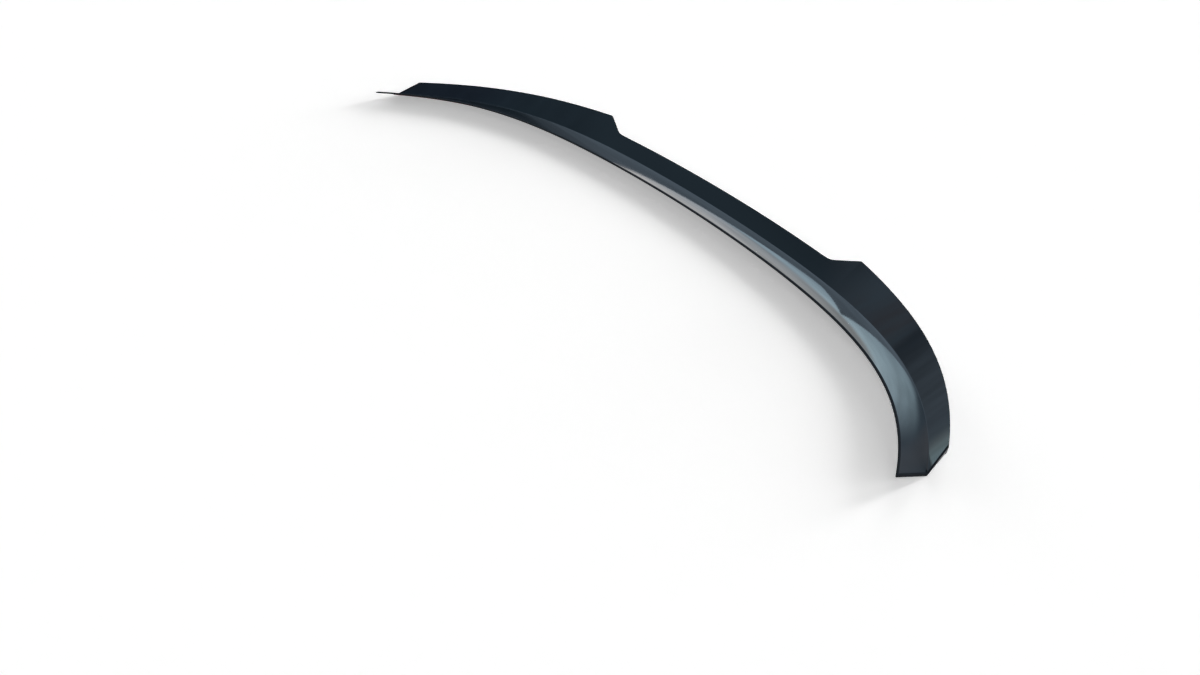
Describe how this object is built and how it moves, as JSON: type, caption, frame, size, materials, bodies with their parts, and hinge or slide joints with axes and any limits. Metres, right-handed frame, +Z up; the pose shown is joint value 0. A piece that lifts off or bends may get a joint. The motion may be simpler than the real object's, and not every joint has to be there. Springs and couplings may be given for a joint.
{
  "type": "spoiler extension",
  "caption": "Crescent-shaped gloss black plastic spoiler extension: a taped front flange, a folded rear lip cut back in the middle, and a red liner over the tape underneath",
  "frame": {"origin": "middle of the part's box, on the plane that its fold lies on when it rests on a bench", "axes": "+X across the car, +Y from the taped flange to the trailing edge, +Z up"},
  "size_m": [1.25, 0.2792, 0.0328],
  "materials": {
    "body_plastic": "moulded gloss black plastic",
    "tape_foam": "dark acrylic foam tape",
    "liner_film": "red release film with a satin face"
  },
  "bodies": {
    "root": {"spoiler_body": "body_plastic", "mounting_tape": "tape_foam", "release_liner": "liner_film"}
  },
  "joints": []
}
